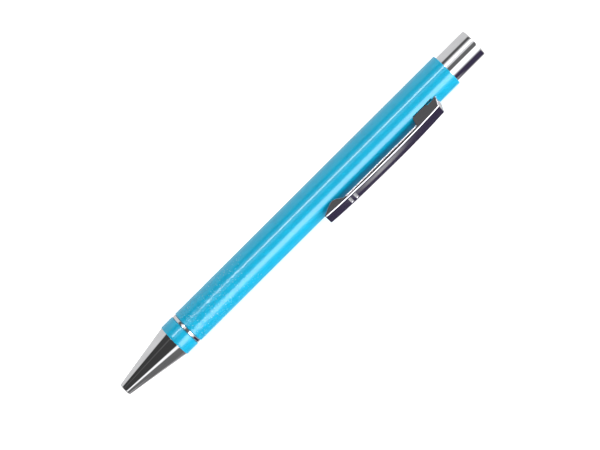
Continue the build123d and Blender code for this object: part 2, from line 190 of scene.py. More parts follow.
def node(tree, kind, **settings):
    """New node. Settings are its attributes; inputs maps its sockets to values or to sockets to link."""
    made = tree.nodes.new(kind)
    inputs = settings.pop("inputs", {})
    for key, value in settings.items():
        setattr(made, key, value)
    for key, value in inputs.items():
        if isinstance(value, bpy.types.NodeSocket):
            tree.links.new(value, made.inputs[key])
        else:
            made.inputs[key].default_value = value
    return made


def maths(tree, operation, a, b=None):
    inputs = {0: a}
    if b is not None:
        inputs[1] = b
    return node(tree, "ShaderNodeMath", operation=operation, inputs=inputs).outputs[0]


def mapped(tree, value, low, high, to_low, to_high, smooth=False):
    made = node(
        tree,
        "ShaderNodeMapRange",
        interpolation_type="SMOOTHSTEP" if smooth else "LINEAR",
        inputs={0: value, 1: low, 2: high, 3: to_low, 4: to_high},
    )
    return made.outputs[0]


def mixed(tree, factor, a, b):
    made = node(tree, "ShaderNodeMix", data_type="RGBA", inputs={0: factor, 6: a, 7: b})
    return made.outputs[2]


def object_place(tree, scale=(1000.0, 1000.0, 1000.0)):
    """Object coordinates in millimetres, stretched by scale / 1000."""
    place = node(tree, "ShaderNodeTexCoord").outputs["Object"]
    return node(tree, "ShaderNodeMapping", inputs={0: place, 3: scale}).outputs[0]


def noise(tree, place, scale, detail=4.0, roughness=0.5):
    inputs = {"Vector": place, "Scale": scale, "Detail": detail, "Roughness": roughness}
    return node(tree, "ShaderNodeTexNoise", inputs=inputs).outputs["Fac"]


def bump(tree, height, distance, normal=None):
    inputs = {"Height": height, "Distance": distance}
    if normal is not None:
        inputs["Normal"] = normal
    return node(tree, "ShaderNodeBump", inputs=inputs).outputs[0]


def set_inputs(shader, **values):
    for key, value in values.items():
        shader.inputs[key.replace("_", " ")].default_value = value


# ---------------------------------------------------------------- materials
LACQUER_DEEP = (0.0, 0.50, 0.80, 1)
LACQUER_LIGHT = (0.0, 0.55, 0.86, 1)
FLAKE_COLOUR = (0.02, 0.62, 0.90, 1)
GRIP_DARK = (0.0, 0.35, 0.58, 1)
# pale cyan painted into the grip's pits as a painted glint, not a colour of the lacquer
GRIP_GLINT_PAINT = (0.34, 0.86, 1.0, 1)
FLAKES_PER_MM = 14.0
GRIP_CELLS_PER_MM = 2.3


def lacquer(name, grip):
    """Metallic pearl lacquer under a clear coat. grip adds the stippling that fades out along the barrel,
    with a painted glint lightening the colour of its pits.
    """
    material, tree, shader = new_material(name)
    link = tree.links.new
    place = object_place(tree)
    flakes = node(tree, "ShaderNodeTexVoronoi", inputs={"Vector": place, "Scale": FLAKES_PER_MM})
    flake = node(tree, "ShaderNodeSeparateColor", inputs={0: flakes.outputs["Color"]}).outputs[0]
    cloud = noise(tree, place, 0.35, 3.0)
    base = mixed(tree, mapped(tree, cloud, 0.3, 0.7, 0.0, 1.0), LACQUER_DEEP, LACQUER_LIGHT)
    base = mixed(tree, mapped(tree, flake, 0.9, 1.0, 0.0, 0.35), base, FLAKE_COLOUR)
    orange_peel = noise(tree, place, 2.2, 2.0)
    normal = bump(tree, orange_peel, 1.2 * MICRON)
    rough = mapped(tree, flake, 0.0, 1.0, 0.42, 0.55)
    if grip:
        metres = node(tree, "ShaderNodeTexCoord").outputs["Object"]
        x = node(tree, "ShaderNodeSeparateXYZ", inputs={0: metres}).outputs[0]
        front = AXIS_POINT.x + BARREL_FRONT * MM
        end = AXIS_POINT.x + GRIP_END * MM
        fade = mapped(tree, x, front, end, 1.0, 0.0)
        cells = node(tree, "ShaderNodeTexVoronoi", inputs={"Vector": place, "Scale": GRIP_CELLS_PER_MM})
        pits = mapped(tree, cells.outputs["Distance"], 0.1, 0.45, 0.0, 1.0, smooth=True)
        tones = node(tree, "ShaderNodeSeparateColor", inputs={0: cells.outputs["Color"]})
        cell = tones.outputs[1]
        shown = maths(tree, "LESS_THAN", cell, maths(tree, "MULTIPLY", fade, 0.9))
        depth = maths(tree, "MULTIPLY", maths(tree, "SUBTRACT", 1.0, pits), shown)
        normal = bump(tree, maths(tree, "MULTIPLY", depth, fade), 18 * MICRON, normal=normal)
        dark = maths(tree, "MULTIPLY", fade, mapped(tree, tones.outputs[2], 0.5, 1.0, 0.0, 0.5))
        base = mixed(tree, dark, base, GRIP_DARK)
        # Painted glints: the pits' colour is lightened towards pale cyan to stand in for light sparkling off
        # the stippling.
        bright = maths(tree, "MULTIPLY", depth, mapped(tree, cell, 0.0, 0.42, 0.85, 0.0))
        base = mixed(tree, bright, base, GRIP_GLINT_PAINT)
        link(normal, shader.inputs["Coat Normal"])
    link(base, shader.inputs["Base Color"])
    link(rough, shader.inputs["Roughness"])
    link(normal, shader.inputs["Normal"])
    set_inputs(shader, Metallic=0.12, Specular_IOR_Level=0.2)
    set_inputs(shader, Coat_Weight=1.0, Coat_Roughness=0.06, Coat_IOR=1.65)
    return material


def chrome(name, tint=(0.86, 0.86, 0.88, 1), turning=0.0, haze=0.0):
    """Bright plate with hairline scratches, faint smudges and a very slight unevenness. turning is the depth
    of its turning marks, in metres; haze is added to its roughness."""
    material, tree, shader = new_material(name)
    link = tree.links.new
    place = object_place(tree)
    smudge = noise(tree, place, 0.22, 5.0, 0.6)
    hair = noise(tree, object_place(tree, (60.0, 2600.0, 2600.0)), 1.4, 6.0, 0.7)
    scratch = mapped(tree, hair, 0.62, 0.72, 0.0, 1.0)
    rough = maths(
        tree,
        "ADD",
        mapped(tree, smudge, 0.4, 0.75, 0.025 + haze, 0.07 + haze),
        maths(tree, "MULTIPLY", scratch, 0.05),
    )
    uneven = noise(tree, place, 0.5, 2.0)
    normal = bump(tree, uneven, 2 * MICRON)
    normal = bump(tree, scratch, 0.3 * MICRON, normal=normal)
    if turning > 0:
        rings = noise(tree, object_place(tree, (9000.0, 40.0, 40.0)), 1.0, 4.0, 0.6)
        normal = bump(tree, rings, turning, normal=normal)
    darker = tuple(0.9 * c for c in tint[:3]) + (1,)
    link(mixed(tree, mapped(tree, smudge, 0.35, 0.8, 0.0, 1.0), tint, darker), shader.inputs["Base Color"])
    link(rough, shader.inputs["Roughness"])
    link(normal, shader.inputs["Normal"])
    set_inputs(shader, Metallic=1.0)
    return material


def turned_metal(name, light, dark, rough_low, rough_high, grain=7000.0):
    """Metal with fine turning marks round the axis and patches of tarnish."""
    material, tree, shader = new_material(name)
    link = tree.links.new
    place = object_place(tree)
    tarnish = noise(tree, place, 0.6, 6.0, 0.6)
    rings = noise(tree, object_place(tree, (grain, 60.0, 60.0)), 1.0, 5.0, 0.65)
    link(mixed(tree, mapped(tree, tarnish, 0.35, 0.7, 0.0, 1.0), light, dark), shader.inputs["Base Color"])
    link(mapped(tree, rings, 0.3, 0.7, rough_low, rough_high), shader.inputs["Roughness"])
    link(bump(tree, rings, 6 * MICRON), shader.inputs["Normal"])
    set_inputs(shader, Metallic=1.0)
    return material


def moulded(name, light, dark, rough=0.42):
    """Moulded plastic: fine spark-eroded grain, faint flow marks, slightly uneven gloss."""
    material, tree, shader = new_material(name)
    link = tree.links.new
    place = object_place(tree)
    flow = noise(tree, object_place(tree, (120.0, 700.0, 700.0)), 1.0, 4.0)
    grain = noise(tree, place, 9.0, 3.0)
    link(mixed(tree, mapped(tree, flow, 0.35, 0.65, 0.0, 1.0), light, dark), shader.inputs["Base Color"])
    link(mapped(tree, grain, 0.2, 0.8, rough - 0.07, rough + 0.08), shader.inputs["Roughness"])
    link(bump(tree, grain, 4 * MICRON), shader.inputs["Normal"])
    set_inputs(shader, IOR=1.48)
    return material


def thick_liquid(name, colour, deep):
    """Glossy paste, streaked along the pen."""
    material, tree, shader = new_material(name)
    link = tree.links.new
    place = object_place(tree)
    streak = noise(tree, object_place(tree, (90.0, 900.0, 900.0)), 1.0, 3.0)
    link(mixed(tree, streak, colour, deep), shader.inputs["Base Color"])
    link(mapped(tree, noise(tree, place, 1.5), 0.3, 0.7, 0.12, 0.2), shader.inputs["Roughness"])
    set_inputs(shader, IOR=1.5)
    return material


BARREL_LACQUER = lacquer("barrel_lacquer", True)
COLLAR_LACQUER = lacquer("collar_lacquer", False)
CHROME = chrome("bright_chrome", turning=0.2 * MICRON)
CLIP_CHROME = chrome("clip_chrome", (0.82, 0.81, 0.86, 1), haze=0.07)
BRASS = turned_metal("turned_brass", (0.78, 0.55, 0.24, 1), (0.60, 0.40, 0.16, 1), 0.22, 0.38)
WHITE_PLASTIC = moulded("white_acetal", (0.80, 0.80, 0.76, 1), (0.74, 0.74, 0.70, 1))
BLACK_PLASTIC = moulded("black_acetal", (0.022, 0.022, 0.025, 1), (0.035, 0.035, 0.038, 1), 0.36)
BLUE_PLASTIC = moulded("blue_plug_plastic", (0.02, 0.07, 0.35, 1), (0.015, 0.05, 0.27, 1), 0.3)
REFILL_STEEL = turned_metal("refill_steel", (0.62, 0.62, 0.61, 1), (0.5, 0.5, 0.5, 1), 0.2, 0.34, 2500.0)
NICKEL_SILVER = turned_metal("nickel_silver", (0.66, 0.62, 0.54, 1), (0.55, 0.51, 0.44, 1), 0.16, 0.28)
WIRE = turned_metal("spring_wire", (0.52, 0.52, 0.54, 1), (0.4, 0.4, 0.42, 1), 0.2, 0.34, 1500.0)
BALL = turned_metal("ground_ball", (0.42, 0.42, 0.44, 1), (0.3, 0.3, 0.34, 1), 0.05, 0.12, 500.0)
INK = thick_liquid("ink_paste", (0.004, 0.01, 0.09, 1), (0.002, 0.004, 0.05, 1))
GREASE = thick_liquid("follower_grease", (0.75, 0.62, 0.3, 1), (0.62, 0.5, 0.22, 1))


# ---------------------------------------------------------------- barrel
# The outline of a turned piece is (distance from the nose's front face, radius, corner radius).
PIT_PITCH = 1.15
PIT_RADIUS = 0.56
PIT_DEPTH = 0.030
PIT_JITTER = 0.45
PLAIN_FRONT, PLAIN_FADE = 0.3, 0.4  # the barrel's front edge has no pits
ROW_STEP = PIT_PITCH * 0.866  # rows of an even triangular pattern
GRIP_RING_STEP = 0.12
SLOT_RINGS = [108.6, 109.6, 111.0, 112.5, 114.0, 115.5, 117.2, 118.4]
SLOT_X, SLOT_Y, SLOT_Z = 113.4, 2.375, 4.2
SLOT_SIZE = (7.0, 0.85, 3.4)


def scattered(seed, factor):
    """A repeatable value from 0 to 1 for each seed."""
    return np.modf(np.abs(np.sin(seed) * factor))[0]


def stippled(x, radius, angle):
    """Radius of the barrel's outside with rows of small pits that fade out to the rear."""
    fade = np.clip((GRIP_END - x) / (GRIP_END - BARREL_FRONT), 0, 1)
    if radius[0] < BARREL_R - SAME or fade[0] <= 0:
        return radius
    around = round(2 * math.pi * BARREL_R / PIT_PITCH)
    column = x / ROW_STEP
    cell = np.floor(column)
    cut = np.zeros_like(radius)
    for step in (-1, 0, 1):
        line = cell + step
        turn = angle / (2 * math.pi) * around - 0.5 * (line % 2)
        spot = np.round(turn)
        for side in (-1, 0, 1):
            # These factors have no meaning of their own; they only scatter the pits.
            seed = line * 157.31 + ((spot + side) % around) * 91.17
            jitter_x = scattered(seed, 43758.5453) - 0.5
            jitter_y = scattered(seed + 7.7, 24634.6345) - 0.5
            size = 0.55 + 0.9 * scattered(seed + 3.3, 9631.71)
            dx = (column - line - PIT_JITTER * jitter_x) * ROW_STEP
            dy = (turn - spot - side - PIT_JITTER * jitter_y) * PIT_PITCH
            reach = np.hypot(dx, dy) / (PIT_RADIUS * size)
            cut = np.maximum(cut, size * np.clip(1 - reach * reach, 0, 1))
    near_front = np.clip((x - BARREL_FRONT - PLAIN_FRONT) / PLAIN_FADE, 0, 1)
    return radius - PIT_DEPTH * cut * fade ** 0.8 * near_front


def cut_box(piece, centre, size):
    """Cut a box out of the piece; centre and size are in the pen's frame."""
    mesh = bpy.data.meshes.new("slot_cut")
    box = bmesh.new()
    bmesh.ops.create_cube(box, size=1.0)
    place = PEN @ Matrix.Translation(centre) @ Matrix.Diagonal((*size, 1))
    bmesh.ops.transform(box, matrix=place, verts=box.verts)
    box.to_mesh(mesh)
    box.free()
    cutter = bpy.data.objects.new("slot_cut", mesh)
    scene.collection.objects.link(cutter)
    modifier = piece.modifiers.new("cut", "BOOLEAN")
    modifier.operation = "DIFFERENCE"
    modifier.solver = "EXACT"
    modifier.object = cutter
    bpy.context.view_layer.update()
    shown = piece.evaluated_get(bpy.context.evaluated_depsgraph_get())
    whole, piece.data = piece.data, bpy.data.meshes.new_from_object(shown)
    piece.modifiers.clear()
    bpy.data.meshes.remove(whole)
    bpy.data.objects.remove(cutter)


def make_barrel():
    profile = outline(
        [
            (BARREL_FRONT, BARREL_BORE, 0.08),
            (BARREL_FRONT, BARREL_R, 0.12),
            (BARREL_END, BARREL_R, 0.14),
            (BARREL_END, BARREL_BORE, 0.08),
        ],
        4,
    )
    marks = list(np.arange(BARREL_FRONT + 0.2, GRIP_END, GRIP_RING_STEP)) + SLOT_RINGS
    vertices, faces = lathe(refined(profile, marks, BARREL_R), 288, shape=stippled)
    piece = finish_piece(
        "barrel_tube", vertices, faces, BARREL_LACQUER, "barrel_unit", ("barrel",), sharp=28
    )
    for side in (-1, 1):
        cut_box(piece, (SLOT_X, side * SLOT_Y, SLOT_Z), SLOT_SIZE)


# ---------------------------------------------------------------- front section
NOSE_BORE_R, NOSE_FACE_R, CONE_REAR_R = 1.28, 1.9, 5.03
SOCKET_R, CHAMBER_R, THROAT_R = 3.72, 2.25, 1.72
THROAT_FRONT, CHAMBER_END = 3.2, 10.9
COLLAR_BORE_R = 4.42
SPRING_FRONT, SPRING_END = 5.62, 17.18
SPRING_SEAT = 5.6
RING_R = 5.04
RING_BORE_R = 4.45
RING_PLAY = 0.015  # the gap between the ring and the pieces on both sides of it


def make_cone():
    profile = outline(
        [
            (0, NOSE_BORE_R, 0.1),
            (0, NOSE_FACE_R, 0.45),
            (CONE_LENGTH, CONE_REAR_R, 0.03),
            (CONE_LENGTH, SOCKET_R, 0.05),
            (COUPLER_FRONT, SOCKET_R, 0),
            (COUPLER_FRONT, COUPLER_BORE, 0),
            (CHAMBER_END, COUPLER_BORE, 0),
            (CHAMBER_END, CHAMBER_R, 0),
            (SPRING_SEAT, CHAMBER_R, 0),
            (SPRING_SEAT, THROAT_R, 0),
            (THROAT_FRONT, THROAT_R, 0),
            (THROAT_FRONT, NOSE_BORE_R, 0),
        ],
        8,
    )
    vertices, faces = lathe(profile, 192)
    finish_piece("nose_cone_shell", vertices, faces, CHROME, "nose_section", ("nose_cone",))


def make_collar():
    profile = outline(
        [
            (CONE_LENGTH, COLLAR_BORE_R, 0.05),
            (CONE_LENGTH, BARREL_R, 0.12),
            (COLLAR_END, BARREL_R, 0.12),
            (COLLAR_END, COLLAR_BORE_R, 0.05),
        ],
        6,
    )
    vertices, faces = lathe(profile, 192)
    finish_piece(
        "front_collar_ring", vertices, faces, COLLAR_LACQUER, "nose_section", ("front_collar",)
    )


def make_ring():
    front, end = COLLAR_END + RING_PLAY, BARREL_FRONT - RING_PLAY
    profile = outline(
        [(front, RING_BORE_R, 0.05), (front, RING_R, 0.35), (end, RING_R, 0.35), (end, RING_BORE_R, 0.05)],
        10,
    )
    vertices, faces = lathe(profile, 192)
    finish_piece("trim_ring_band", vertices, faces, CHROME, "trim_ring", ("trim_ring",))


THREAD_PITCH, THREAD_CREST, THREAD_ROOT = 0.75, 3.85, 3.42
THREAD_START, THREAD_END, COUPLER_END = 25.5, 30.7, 31.0
THREAD_RING_STEP = 0.05
COUPLER_R, SLEEVE_R = 3.7, 4.4


def make_coupler():
    """The threaded sleeve. Its thread is a real helix with a flat crest and root."""
    rows = [(COUPLER_FRONT, COUPLER_BORE), (COUPLER_FRONT, COUPLER_R - 0.1), (COUPLER_FRONT + 0.1, COUPLER_R)]
    rows += [(CONE_LENGTH, COUPLER_R), (CONE_LENGTH, SLEEVE_R), (BARREL_FRONT, SLEEVE_R)]
    rows += [(BARREL_FRONT, THREAD_ROOT), (THREAD_START, THREAD_ROOT)]
    threaded = np.arange(THREAD_START + THREAD_RING_STEP, THREAD_END - THREAD_RING_STEP, THREAD_RING_STEP)
    rows += [(x, THREAD_CREST) for x in threaded]
    rows += [(THREAD_END, THREAD_ROOT), (COUPLER_END, THREAD_ROOT - 0.1), (COUPLER_END, COUPLER_BORE)]

    def thread(x, radius, angle):
        if abs(radius[0] - THREAD_CREST) > SAME:
            return radius
        phase = (x / THREAD_PITCH - angle / (2 * math.pi)) % 1.0
        tooth = np.clip(1.25 - 2.5 * np.abs(phase - 0.5) * 1.15, 0, 1)
        ends = np.clip((x - THREAD_START) / 0.5, 0, 1) * np.clip((THREAD_END - x) / 0.4, 0, 1)
        return THREAD_ROOT + (THREAD_CREST - THREAD_ROOT) * tooth * ends

    vertices, faces = lathe(rows, 128, shape=thread)
    finish_piece("nose_coupler_thread", vertices, faces, BRASS, "nose_section", ("nose_coupler",))


COIL_R, WIRE_R = 1.93, 0.175
TURNS, CLOSED_TURNS = 11.0, 1.0
WIRE_STEPS, WIRE_SIDES = 620, 12


def make_spring():
    """Compression spring with closed ends, given a mesh of its own."""
    span = SPRING_END - SPRING_FRONT - 2 * WIRE_R
    flat = 2 * WIRE_R
    coil = (span - 2 * CLOSED_TURNS * flat) / (TURNS - 2 * CLOSED_TURNS)
    path = []
    for step in range(WIRE_STEPS + 1):
        turn = TURNS * step / WIRE_STEPS
        if turn < CLOSED_TURNS:
            x = turn * flat
        elif turn > TURNS - CLOSED_TURNS:
            x = span - (TURNS - turn) * flat
        else:
            x = CLOSED_TURNS * flat + (turn - CLOSED_TURNS) * coil
        angle = turn * 2 * math.pi
        path.append(Vector((SPRING_FRONT + WIRE_R + x, COIL_R * math.cos(angle), COIL_R * math.sin(angle))))
    vertices = []
    for index, point in enumerate(path):
        tangent = (path[min(index + 1, WIRE_STEPS)] - path[max(index - 1, 0)]).normalized()
        outward = Vector((0, point.y, point.z)).normalized()
        other = tangent.cross(outward).normalized()
        outward = other.cross(tangent)
        for side in range(WIRE_SIDES):
            turn = side * 2 * math.pi / WIRE_SIDES
            vertices.append(point + outward * (WIRE_R * math.cos(turn)) + other * (WIRE_R * math.sin(turn)))
    faces = []
    for row in range(WIRE_STEPS):
        for side in range(WIRE_SIDES):
            a, b = row * WIRE_SIDES + side, row * WIRE_SIDES + (side + 1) % WIRE_SIDES
            faces.append((a, b, b + WIRE_SIDES, a + WIRE_SIDES))
    faces.append(tuple(range(WIRE_SIDES)))
    faces.append(tuple(WIRE_STEPS * WIRE_SIDES + side for side in range(WIRE_SIDES)))
    piece = finish_piece(
        "return_spring_coil", vertices, faces, WIRE, "nose_section", ("return_spring",)
    )
    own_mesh(piece)


# ---------------------------------------------------------------- button and refill point
CAP_R, CAP_BORE_R, CAP_FRONT, CAP_WALL = 4.44, 4.0, 123.7, 0.6
TIP_BORE_R, TIP_BODY_R = 0.3, 1.175


def make_cap():
    shell = outline(
        [
            (LENGTH - CAP_WALL, 0.0, 0),
            (LENGTH - CAP_WALL, CAP_BORE_R, 0.15),
            (CAP_FRONT, CAP_BORE_R, 0.05),
            (CAP_FRONT, CAP_R, 0.1),
            (LENGTH, CAP_R, 0.45),
            (LENGTH, 0.0, 0),
        ],
        8,
    )
    vertices, faces = lathe(shell, 192, closed=False)
    finish_piece("plunger_cap_shell", vertices, faces, CHROME, "plunger", ("plunger_cap",))


def make_point():
    profile = outline(
        [
            (1.95, TIP_BORE_R, 0),
            (1.62, 0.49, 0),
            (1.47, 0.50, 0.01),
            (1.47, 0.55, 0.03),
            (1.75, 0.63, 0.03),
            (1.82, 0.60, 0.02),
            (3.9, TIP_BODY_R, 0.15),
            (7.6, TIP_BODY_R, 0.03),
            (7.7, 1.10, 0.02),
            (8.0, 1.10, 0.02),
            (8.1, TIP_BODY_R, 0.03),
            (9.5, TIP_BODY_R, 0.05),
            (9.5, 0.9, 0),
            (12.5, 0.9, 0.05),
            (12.5, TIP_BORE_R, 0),
        ],
        4,
    )
    vertices, faces = lathe(profile, 96)
    finish_piece(
        "refill_point_tip", vertices, faces, NICKEL_SILVER, "refill", ("refill_point",)
    )


# ---------------------------------------------------------------- clip
# The clip is a bent strip. X positions run towards the button; heights are above the pen's axis.
SHEET = 0.5
HALF = 2.6
BEND = 0.3
FLATTENED = 0.6  # how far the bend's arc is drawn towards a straight slope
INNER_BEND = 0.1
FOOT_R = BARREL_R + 0.05
TAIL = 73.4
TAIL_CORNER, TAIL_EDGE = 0.4, 0.06
DROOP, DROOP_START, DROOP_LENGTH = 0.05, 78.0, 4.6
CROWN = 97.2
TOP_HEIGHT = 8.3
TOP_DROP = 0.85 / (CROWN - TAIL) ** 2
EDGE_FALL, EXTRA_FALL, FALL_X, FALL_WIDTH = 0.07, 0.09, 92.0, 12.0
WALL_EDGE = 6.85
EDGE_R, ROOT_EDGE_R, EDGE_BREAK = 0.12, 0.05, 0.04
BEAD_R, BEAD_OUT = 0.09, 0.10  # what the bead adds to the edge's radius, and how far it stands out
BEAD_RISE, BEAD_END = 1.2, 0.6  # the lengths over which the bead grows and ends
LOBE_END = 80.6
WALL_START = 81.0
# (x, height, slope) along the lobe's edge
LOBE = [(TAIL, 6.8, -0.28), (77.7, 5.12, 0.0), (80.2, 6.5, 0.95), (WALL_START, WALL_EDGE, 0.0)]
ROOT_FRONT, ROOT_SLANT, ROOT_LOW = 109.0, 0.7, 4.4
TAB_FRONT, TAB_END, TAB_BOTTOM = 110.4, 114.9, 3.05
RELIEF_END, RELIEF_HEIGHT = 117.5, 4.95
TOP_END, FOOT_END = 117.25, 118.4
END_BEND, END_BEND_INNER, END_BEND_STEPS = 0.3, 0.1, 8
END_BEND_FOOT, END_BEND_RUN = 116.2, 1.1  # where the walls stand below the end bend
HOOK_FRONT, HOOK_END, HOOK_LOW, HOOK_HIGH, HOOK_INSET = 114.6, 117.1, 3.06, 3.5, 0.03
MARKS = (81.75, 83.6)
MARK_HALF, MARK_REACH, MARK_DEPTH = 0.45, 1.7, 0.2
BEND_STEPS, WALL_STEPS, EDGE_STEPS = 7, 3, 10
FACE_PLACES = (0.0, 0.45, 0.9, 1.3, MARK_REACH - 0.03, MARK_REACH + 0.03, 1.95, HALF - BEND - 0.05)


def arc_height(x):
    """Height of the clip's outer face above the axis; the last few millimetres of the tail droop slightly."""
    droop = DROOP * max(0.0, (DROOP_START - x) / DROOP_LENGTH) ** 2
    return TOP_HEIGHT - TOP_DROP * (x - CROWN) ** 2 - droop


def arc_normal(x):
    step = 0.01
    slope = (arc_height(x + step) - arc_height(x - step)) / (2 * step)
    return Vector((-slope, 0, 1)).normalized()


def hermite(points, x):
    """Smooth curve through (x, y, slope) points."""
    for (x0, y0, s0), (x1, y1, s1) in zip(points, points[1:]):
        if x <= x1:
            t = (x - x0) / (x1 - x0)
            h = x1 - x0
            return (
                (2 * t**3 - 3 * t**2 + 1) * y0
                + (t**3 - 2 * t**2 + t) * h * s0
                + (3 * t**2 - 2 * t**3) * y1
                + (t**3 - t**2) * h * s1
            )
    return points[-1][1]


def on_barrel(y):
    """Height of the barrel's surface, with a little play, at distance y from the middle."""
    return math.sqrt(FOOT_R**2 - min(abs(y), HALF) ** 2)


def wall_bottom(x, y):
    """Height of the side wall's lower edge at x, where the wall stands at distance y from the middle."""
    if x < WALL_START:
        return hermite(LOBE, x)
    if x < ROOT_FRONT:
        return WALL_EDGE
    if TAB_FRONT < x < TAB_END:
        return TAB_BOTTOM
    if TAB_END <= x < RELIEF_END:
        return RELIEF_HEIGHT
    slanted = WALL_EDGE - (x - ROOT_FRONT) / ROOT_SLANT * (WALL_EDGE - ROOT_LOW)
    return max(slanted, on_barrel(y)) if x < TAB_FRONT else on_barrel(y)


def lower_edge(x):
    """Radius of the side wall's lower edge, and how far its rolled bead stands out of the wall."""
    bead = min(1.0, (x - LOBE_END) / BEAD_RISE, (ROOT_FRONT - x) / BEAD_END)
    if bead <= 0:
        return (EDGE_R if x < LOBE_END else ROOT_EDGE_R), 0.0
    return EDGE_R + BEAD_R * bead, BEAD_OUT * bead


def crowned(x):
    """How far the edges of the outer face lie below its middle."""
    return EDGE_FALL + EXTRA_FALL * math.exp(-(((x - FALL_X) / FALL_WIDTH) ** 2))


def station_places():
    """X positions of the clip's cross-sections, closer together where its outline turns."""
    places = [TAIL + step for step in (0.0, 0.01, 0.05, 0.12, 0.22, 0.32, 0.4)]
    places += list(np.arange(TAIL + 0.55, WALL_START + 0.1, 0.15))
    for mark in MARKS:
        places += [mark + step for step in (-MARK_HALF - 0.02, -MARK_HALF, 0.0, MARK_HALF, MARK_HALF + 0.02)]
    places += list(np.arange(MARKS[1] + 1.0, ROOT_FRONT - 0.8, 0.6))
    places += [ROOT_FRONT + step for step in (-0.7, -0.5, -0.3, -0.1, -0.01, 0.02, 0.2, 0.4, 0.6, 0.7, 1.0)]
    places += [TAB_FRONT - 0.01, TAB_FRONT + 0.01, 111.0, 112.0, 113.0, 114.0]
    return places + [TAB_END - 0.01, TAB_END + 0.01, 115.4, 116.1]


def clip_stations():
    """(outer point, outer normal, inner point, wall foot x) along the clip and round its end wall."""
    stations = []
    for x in station_places():
        normal = arc_normal(x)
        outer = Vector((x, 0, arc_height(x)))
        stations.append((outer, normal, outer - normal * SHEET, x))
    top = Vector((TOP_END, 0, arc_height(TOP_END)))
    foot = Vector((FOOT_END, 0, BARREL_R))
    down = (foot - top).normalized()
    out = Vector((-down.z, 0, down.x))
    top_normal = arc_normal(TOP_END)
    along = Vector((top_normal.z, 0, -top_normal.x))
    spread = math.acos(along.dot(down))

    def corner_centre(point, radius):
        return point - along * (radius * math.tan(spread / 2)) - top_normal * radius

    outer_centre = corner_centre(top, END_BEND)
    inner_corner = top - top_normal * SHEET - along * (SHEET * math.tan(spread / 2))
    inner_centre = corner_centre(inner_corner, END_BEND_INNER)
    for step in range(END_BEND_STEPS + 1):
        share = step / END_BEND_STEPS
        normal = top_normal * math.sin((1 - share) * spread) + out * math.sin(share * spread)
        normal.normalize()
        outer, inner = outer_centre + normal * END_BEND, inner_centre + normal * END_BEND_INNER
        stations.append((outer, normal, inner, END_BEND_FOOT + END_BEND_RUN * share))
    last_outer, last_inner = stations[-1][0], stations[-1][2]
    inner_foot = foot - Vector((SHEET / abs(down.z), 0, 0))
    feet = [117.35, 117.45, RELIEF_END + 0.01, 117.7, 117.9, 118.1, 118.25, FOOT_END - 0.01]
    for step, foot_x in enumerate(feet):
        share = (step + 1) / len(feet)
        stations.append((last_outer.lerp(foot, share), out, last_inner.lerp(inner_foot, share), foot_x))
    return stations


def clip_section(outer, normal, inner, foot_x):
    """One closed cross-section of the channel."""
    half, thin = HALF, 0.0
    into_tail = outer.x - TAIL
    if into_tail < TAIL_CORNER:
        half = HALF - TAIL_CORNER + math.sqrt(max(0.0, TAIL_CORNER**2 - (TAIL_CORNER - into_tail) ** 2))
    if into_tail < TAIL_EDGE:
        thin = TAIL_EDGE - math.sqrt(max(0.0, TAIL_EDGE**2 - (TAIL_EDGE - into_tail) ** 2))
    top = outer - normal * thin
    under = inner + normal * thin
    low = wall_bottom(foot_x, HALF) + thin
    low_inside = wall_bottom(foot_x, HALF - SHEET) + thin
    radius, bead = lower_edge(foot_x)
    leaves = math.acos((radius - bead) / radius)
    side = []
    for y in FACE_PLACES:
        sink = crowned(outer.x) * (y / (HALF - BEND)) ** 2
        if y < MARK_REACH:
            for mark in MARKS:
                sink += MARK_DEPTH * max(0.0, 1 - abs(outer.x - mark) / MARK_HALF)
        across = y * (half - BEND) / (HALF - BEND)
        side.append(top - normal * sink + Vector((0, across, 0)))
    for step in range(BEND_STEPS + 1):
        turn = math.pi / 2 * step / BEND_STEPS
        across = (1 - FLATTENED) * math.sin(turn) + FLATTENED * step / BEND_STEPS
        fall = (1 - FLATTENED) * (1 - math.cos(turn)) + FLATTENED * step / BEND_STEPS
        reach = Vector((0, half - BEND + BEND * across, 0))
        side.append(top - normal * (crowned(outer.x) + BEND * fall) + reach)
    bend_foot = top - normal * (BEND + crowned(outer.x))
    wall_foot = Vector((foot_x, 0, low + radius * (1 + math.sin(leaves))))
    for step in range(1, WALL_STEPS + 1):
        side.append(bend_foot.lerp(wall_foot, step / WALL_STEPS) + Vector((0, half, 0)))
    for step in range(1, EDGE_STEPS + 1):
        turn = leaves - (leaves + math.pi / 2) * step / EDGE_STEPS
        out = half + bead - radius * (1 - math.cos(turn))
        side.append(Vector((foot_x, out, low + radius * (1 + math.sin(turn)))))
    inside = half - SHEET
    side.append(Vector((foot_x, inside + EDGE_BREAK, low_inside)))
    side.append(Vector((foot_x, inside, low_inside + EDGE_BREAK)))
    inner_foot = Vector((foot_x, 0, low_inside + EDGE_BREAK))
    inner_top = under - normal * INNER_BEND
    for step in range(1, WALL_STEPS + 1):
        side.append(inner_foot.lerp(inner_top, step / WALL_STEPS) + Vector((0, inside, 0)))
    for step in range(1, WALL_STEPS + 1):
        turn = math.pi / 2 * step / WALL_STEPS
        reach = Vector((0, inside - INNER_BEND * (1 - math.cos(turn)), 0))
        side.append(inner_top + normal * (INNER_BEND * math.sin(turn)) + reach)
    mirrored = [Vector((p.x, -p.y, p.z)) for p in side[:0:-1]]
    return side + [under] + mirrored


def make_clip():
    loops = [clip_section(*station) for station in clip_stations()]
    for point in loops[-1]:
        point.z = on_barrel(point.y)
    count = len(loops[0])
    vertices = [point for loop in loops for point in loop]
    faces = []
    for row in range(len(loops) - 1):
        for i in range(count):
            j = (i + 1) % count
            faces.append((row * count + i, row * count + j, (row + 1) * count + j, (row + 1) * count + i))
    faces.append(tuple(range(count)))
    faces.append(tuple((len(loops) - 1) * count + i for i in range(count)))
    for sign in (-1, 1):
        add_hook(vertices, faces, sign)
    finish_piece("clip_channel", vertices, faces, CLIP_CHROME, "clip", ("clip",), sharp=20)


